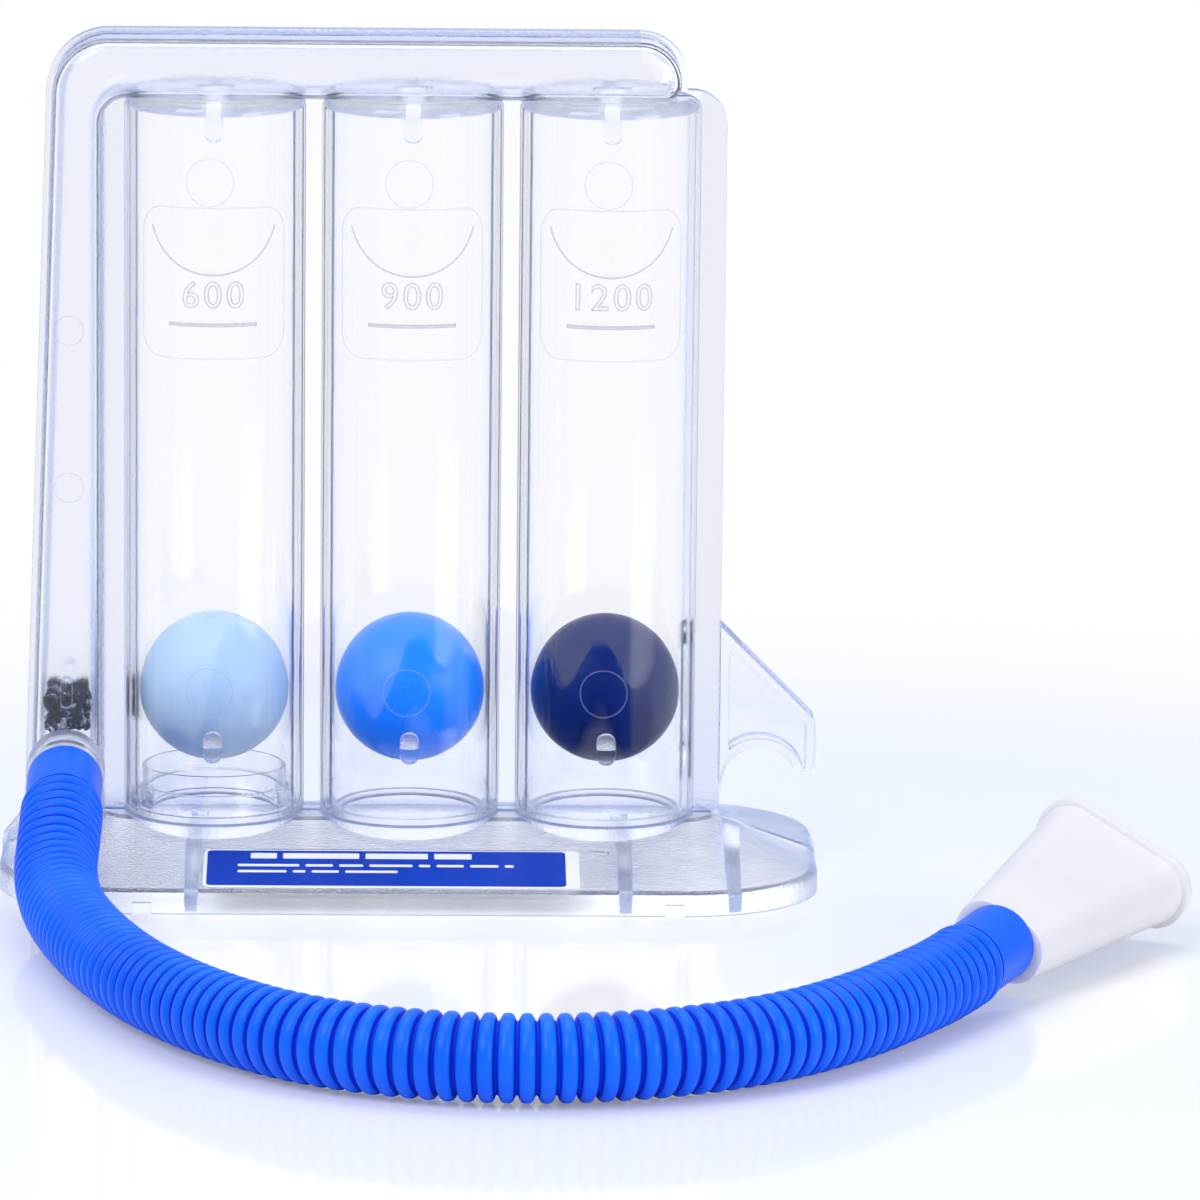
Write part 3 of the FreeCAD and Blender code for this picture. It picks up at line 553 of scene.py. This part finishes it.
def raised_line(name, outline, material, surface, width=MARK_WIDTH, height=MARK_RISE, closed=False):
    """A fine raised line along a drawn outline, with rounded shoulders."""
    shoulder = 0.8 * height
    # Shares of the width across the line, and heights over the surface
    section = [(-0.5, -MARK_SINK), (-0.3, shoulder), (0.0, height), (0.3, shoulder), (0.5, -MARK_SINK)]
    points = []
    count = len(outline)
    for index, (across, up) in enumerate(outline):
        before = outline[index - 1] if closed or index else outline[0]
        after = outline[(index + 1) % count] if closed or index < count - 1 else outline[-1]
        way = Vector((after[0] - before[0], after[1] - before[1])).normalized()
        for side, out in section:
            points.append(surface(across - way.y * side * width, up + way.x * side * width, out))
    size = len(section)
    faces = []
    for index in range(count if closed else count - 1):
        first = index * size
        second = (index + 1) % count * size
        for step in range(size - 1):
            faces.append((first + step, first + step + 1, second + step + 1, second + step))
        faces.append((first + size - 1, first, second, second + size - 1))
    if not closed:
        faces.append(tuple(reversed(range(size))))
        faces.append(tuple(range((count - 1) * size, count * size)))
    return mesh_piece(name, points, faces, material, "tower")


def arc_points(across, up, radius, start, end, count):
    """Points of an arc, its angles in degrees from the right hand."""
    spots = []
    for step in range(count):
        angle = math.radians(start + (end - start) * step / (count - 1))
        spots.append((across + radius * math.cos(angle), up + radius * math.sin(angle)))
    return spots


def ring_points(across, up, radius, count):
    """Points of a full ring, for a closed line."""
    return arc_points(across, up, radius, 0, 360 - 360 / count, count)


def rounded_corners(left, right, low, high, radius):
    """The middles of a rounded rectangle's four corners, and the angle at which each one starts."""
    return [(right - radius, high - radius, 0), (left + radius, high - radius, 90),
            (left + radius, low + radius, 180), (right - radius, low + radius, 270)]


def rounded_frame(half_wide, low, high, radius):
    """Points of a rounded rectangle between two heights, its straight sides cut in short steps."""
    corners = rounded_corners(-half_wide, half_wide, low, high, radius)
    spots = []
    for index, (across, up, start) in enumerate(corners):
        spots += arc_points(across, up, radius, start, start + 90, FRAME_CORNER_STEPS)
        following = corners[(index + 1) % 4]
        first = Vector(spots[-1])
        second = Vector(arc_points(*following[:2], radius, following[2], following[2] + 90, 2)[0])
        spots += [tuple(first.lerp(second, step / FRAME_STEPS)) for step in range(1, FRAME_STEPS)]
    return spots


def raised_number(name, text, material, surface):
    """A number in outline, as fine raised lines that follow a curved wall."""
    curve = bpy.data.curves.new(name, "FONT")
    curve.body = text
    curve.align_x = "CENTER"
    curve.size = NUMBER_HEIGHT / NUMBER_CAP
    curve.space_character = NUMBER_SPACING
    curve.fill_mode = "NONE"
    curve.bevel_depth = NUMBER_LINE
    curve.bevel_resolution = 1
    curve.resolution_u = 6
    holder = bpy.data.objects.new(name, curve)
    scene.collection.objects.link(holder)
    bpy.context.view_layer.update()
    mesh = bpy.data.meshes.new_from_object(holder)
    points = [surface(vertex.co.x, NUMBER_FOOT + vertex.co.y, vertex.co.z) for vertex in mesh.vertices]
    faces = [tuple(polygon.vertices) for polygon in mesh.polygons]
    bpy.data.objects.remove(holder)
    bpy.data.curves.remove(curve)
    bpy.data.meshes.remove(mesh)
    return mesh_piece(name, points, faces, material, "tower")


def add_marks(plain, faint):
    """On each chamber a number, a rule, a bow, a frame and two rings; on the duct two small rings."""
    for step, text in enumerate(("600", "900", "1200"), start=-1):
        surface = on_chamber(step * CHAMBER_PITCH)
        raised_number(f"number_{text}", text, plain, surface)
        rule = [(across, RULE_HEIGHT) for across in range(-RULE_HALF, RULE_HALF + 1)]
        raised_line(f"rule_{text}", rule, plain, surface, RULE_WIDTH)
        bow = arc_points(0, BOW_HEIGHT, BOW_RADIUS, *BOW_ANGLES, BOW_STEPS)
        raised_line(f"bow_{text}", bow, plain, surface)
        frame_line = rounded_frame(FRAME_HALF, FRAME_LOW, FRAME_HIGH, FRAME_CORNER)
        raised_line(f"frame_{text}", frame_line, faint, surface, FRAME_WIDTH, FRAME_RISE, closed=True)
        for place, up in RING_HEIGHTS.items():
            ring = ring_points(RING_ACROSS, up, RING_RADIUS, RING_SIDES)
            raised_line(f"ring_{place}_{text}", ring, faint, surface, RING_WIDTH, RING_RISE, closed=True)
    for place, up in DUCT_RING_HEIGHTS.items():
        ring = ring_points(DUCT_RING_ACROSS, up, DUCT_RING_RADIUS, DUCT_RING_SIDES)
        raised_line(f"duct_ring_{place}", ring, faint, on_duct, RING_WIDTH, RING_RISE, closed=True)


# Print on the label, in millimetres

SLOPE_FOOT = Vector((0.0, -38.0, 4.2))
SLOPE_WAY = Vector((0.0, 32.0, 6.5)).normalized()
SLOPE_OUT = Vector((0.0, -6.5, 32.0)).normalized()
LABEL_FACE = -0.1
FIELD_EDGES = (-35.4, 27.6, 2.9, 17.8)
PATCH_CORNER_STEPS = 6
FIELD_CORNER = 0.9
FIELD_LIFT = 0.02
WORD_CORNER = 0.3
WORD_GAP = 1.1
WORD_LIFT = 0.035


def on_label(across, up, out):
    """A point on the label, measured along the foot's slope and out from the label's face."""
    return (SLOPE_FOOT + Vector((across, 0, 0)) + SLOPE_WAY * up + SLOPE_OUT * (LABEL_FACE + out)) * MM


def printed_patch(name, edges, radius, material, lift):
    """A thin rounded patch of print on the label, between its left, right, low and high edges."""
    spots = []
    for across, up, start in rounded_corners(*edges, radius):
        spots += arc_points(across, up, radius, start, start + 90, PATCH_CORNER_STEPS)
    count = len(spots)
    points = [on_label(across, up, lift) for across, up in spots]
    points += [on_label(across, up, 0.0) for across, up in spots]
    faces = [tuple(range(count))]
    faces += [(step, count + step, count + (step + 1) % count, (step + 1) % count) for step in range(count)]
    return mesh_piece(name, points, faces, material, "tower", smooth=False)


# The rows of print: height on the label, height of the rule, its start and the length of each rule
WORDS = [
    (14.4, 2.3, -27.8, (4.6, 13.4, 11.0, 6.6)),
    (11.0, 1.0, -30.0, (10.8, 4.8, 4.2, 7.6, 2.0, 4.8, 5.0, 1.6)),
    (8.4, 1.0, -30.0, (8.6, 2.2, 4.8, 9.2)),
]


def add_label_print(blue, white):
    """A blue field with a white margin, and plain white rules in the place of its words."""
    printed_patch("label_field", FIELD_EDGES, FIELD_CORNER, blue, FIELD_LIFT)
    for row, (up, height, start, lengths) in enumerate(WORDS):
        across = start
        for index, length in enumerate(lengths):
            edges = (across, across + length, up, up + height)
            printed_patch(f"label_rule_{row}_{index}", edges, WORD_CORNER, white, WORD_LIFT)
            across += length + WORD_GAP


# Floor, backdrop and light, in metres and watts

WHITE = (1.0, 1.0, 1.0, 1.0)
FLOOR_COLOUR = (0.93, 0.945, 0.96, 1.0)
FLOOR_ROUGHNESS = 0.08
FLOOR_IOR = 1.4
FLOOR_REACH = 4.0
FLOOR_HEIGHT = -0.2 * MM
GLOW_MIDDLE = (0.03, -0.1, 0.0)
GLOW_SPREAD = {"From Min": 0.18, "From Max": 0.36, "To Min": 0.2, "To Max": 1.0}
WORLD_LIGHT = (0.87, 0.90, 1.0, 1.0)
WORLD_STRENGTH = 0.52
WORLD_SHINE = (0.46, 0.58, 0.95, 1.0)
LAMPS = [
    # name, place, aim, size, power
    ("key_left", (-0.55, -0.65, 0.85), (0.0, -0.05, 0.05), (0.6, 0.6), 5.8),
    ("fill_right", (0.8, -0.7, 0.36), (0.06, -0.05, 0.03), (0.6, 0.5), 4.2),
    ("top", (0.0, 0.15, 1.1), (0.0, 0.0, 0.0), (0.9, 0.7), 4.4),
]


def seen_ray(tree, path):
    """1 for rays from the camera and for those that go through clear pieces, else 0."""
    seen = add_node(tree, "ShaderNodeMath", operation="MAXIMUM")
    tree.links.new(path.outputs["Is Camera Ray"], seen.inputs[0])
    tree.links.new(path.outputs["Is Transmission Ray"], seen.inputs[1])
    return seen.outputs["Value"]


def floor_material():
    """A glossy white floor that glows more and more away from the object, like a paper sweep."""
    material, tree = new_material("floor_white")
    shader = add_node(tree, "ShaderNodeBsdfPrincipled")
    shader.inputs["Base Color"].default_value = FLOOR_COLOUR
    shader.inputs["Roughness"].default_value = FLOOR_ROUGHNESS
    shader.inputs["IOR"].default_value = FLOOR_IOR
    glow = add_node(tree, "ShaderNodeEmission")
    glow.inputs["Color"].default_value = WHITE
    glow.inputs["Strength"].default_value = 1.0
    place = add_node(tree, "ShaderNodeTexCoord")
    distance = add_node(tree, "ShaderNodeVectorMath", operation="DISTANCE")
    distance.inputs[1].default_value = GLOW_MIDDLE
    tree.links.new(place.outputs["Object"], distance.inputs[0])
    far = add_node(tree, "ShaderNodeMapRange", interpolation_type="SMOOTHSTEP")
    for socket, number in GLOW_SPREAD.items():
        far.inputs[socket].default_value = number
    tree.links.new(distance.outputs["Value"], far.inputs["Value"])
    share = add_node(tree, "ShaderNodeMath", operation="MULTIPLY")
    tree.links.new(seen_ray(tree, add_node(tree, "ShaderNodeLightPath")), share.inputs[0])
    tree.links.new(far.outputs["Result"], share.inputs[1])
    surface = mixed(tree, share.outputs["Value"], shader.outputs["BSDF"], glow.outputs["Emission"])
    finish_surface(tree, surface)
    return material


def add_stage():
    mesh = bpy.data.meshes.new("floor")
    corners = [(-1, -1), (1, -1), (1, 1), (-1, 1)]
    mesh.from_pydata([(x * FLOOR_REACH, y * FLOOR_REACH, 0) for x, y in corners], [], [(0, 1, 2, 3)])
    mesh.materials.append(floor_material())
    floor = bpy.data.objects.new("floor", mesh)
    scene.collection.objects.link(floor)
    floor.location.z = FLOOR_HEIGHT


def background(tree, colour, strength):
    node = add_node(tree, "ShaderNodeBackground")
    node.inputs["Color"].default_value = colour
    node.inputs["Strength"].default_value = strength
    return node.outputs["Background"]


def add_world():
    """White where it is seen, lavender where glossy faces mirror it, and dimmer as a light."""
    world = bpy.data.worlds.new("world")
    scene.world = world
    world.use_nodes = True
    tree = world.node_tree
    tree.nodes.clear()
    path = add_node(tree, "ShaderNodeLightPath")
    light = background(tree, WORLD_LIGHT, WORLD_STRENGTH)
    shine = mixed(tree, path.outputs["Is Glossy Ray"], light, background(tree, WORLD_SHINE, 1.0))
    backdrop = mixed(tree, seen_ray(tree, path), shine, background(tree, WHITE, 1.0))
    output = add_node(tree, "ShaderNodeOutputWorld")
    tree.links.new(backdrop, output.inputs["Surface"])


def add_lights():
    for name, place, aim, size, power in LAMPS:
        data = bpy.data.lights.new(name, "AREA")
        data.shape = "RECTANGLE"
        data.size, data.size_y = size
        data.energy = power
        lamp = bpy.data.objects.new(name, data)
        scene.collection.objects.link(lamp)
        lamp.location = place
        lamp.rotation_mode = "QUATERNION"
        lamp.rotation_quaternion = (Vector(aim) - Vector(place)).to_track_quat("-Z", "Y")


add_camera()
add_world()
add_stage()
add_lights()

clear = clear_plastic("clear_shell", (0.978, 0.982, 0.996, 1.0), (0.72, 0.80, 1.0, 1.0), sheen=0.6)
# Painted shade: the duct's and the flange's colours are greyer than the chambers', though all are one clear
# plastic
clear_frame = clear_plastic(
    "clear_frame", (0.93, 0.937, 0.98, 1.0), (0.66, 0.75, 1.0, 1.0), roughness=0.03, wave=0.3, grain=0.12,
    sheen=1.0,
)
clear_flange = clear_plastic(
    "clear_flange", (0.85, 0.862, 0.935, 1.0), (0.66, 0.75, 1.0, 1.0), roughness=0.05, wave=0.3, grain=0.25,
    sheen=1.0,
)
clear_nub = clear_plastic(
    "clear_nub", (0.97, 0.975, 0.99, 1.0), (0.90, 0.93, 1.0, 1.0), roughness=0.3, wave=0.0, grain=0.3,
    sheen=1.0,
)
clear_base = clear_plastic(
    "clear_base", (0.968, 0.976, 1.0, 1.0), (0.70, 0.79, 1.0, 1.0), wave=0.25, grain=0.25, sheen=1.0
)
hose_blue = solid_plastic(
    "hose_blue", linear(4, 94, 242), linear(8, 108, 252), scale=40.0, roughness=(0.30, 0.40), gloss=0.18,
    texture=0.05,
)
# A darker blue for the hose's grooves, painted shade where the crests keep light out
groove_painted_shade = solid_plastic(
    "groove_painted_shade", linear(4, 46, 196), linear(6, 56, 212), scale=40.0, roughness=(0.4, 0.5), gloss=0.15,
    texture=0.05,
)
mouth_white = solid_plastic(
    "mouth_white", linear(224, 222, 226), linear(232, 230, 233), scale=30.0, roughness=(0.42, 0.5), gloss=0.3,
    subsurface=0.4, texture=0.03,
)
label_blue = solid_plastic(
    "label_blue", linear(1, 52, 170), linear(3, 62, 186), scale=80.0, roughness=(0.35, 0.45), gloss=0.1
)
label_white = solid_plastic(
    "label_white", linear(232, 234, 240), linear(240, 242, 247), scale=80.0, roughness=(0.4, 0.5)
)
BALLS = {
    # node: material, its two colours, gloss
    "ball_600": ("pale_ball_plastic", linear(148, 176, 210), linear(160, 190, 220), 0.2),
    "ball_900": ("blue_ball_plastic", linear(8, 114, 240), linear(16, 130, 250), 0.2),
    "ball_1200": ("dark_ball_plastic", linear(2, 19, 74), linear(5, 27, 90), 0.05),
}

for name in ("front_shell", "rear_shell", "tube_holder", "flow_ring"):
    dress(name, clear)
dress("inlet_port", clear_nub)
join_shells(clear_frame, clear_nub, clear_flange)
dress("base", clear_base)
dress("mouthpiece", mouth_white)
dress("label", label_white)
add_label_print(label_blue, label_white)
add_marks(mark_material("moulded_mark", 0.34), mark_material("faint_mark", 0.13))
ruffle_foam(dress("port_filter", foam_material()))
dress("hose_cuff_port", hose_blue)
dress("hose_cuff_mouthpiece", hose_blue)
for node, (name, darker, lighter, gloss) in BALLS.items():
    plastic = solid_plastic(
        name, darker, lighter, scale=25.0, roughness=(0.25, 0.32), gloss=gloss, texture=0.0
    )
    dress(node, plastic, ROUND_ANGLE)

build_hose(hose_blue, groove_painted_shade)
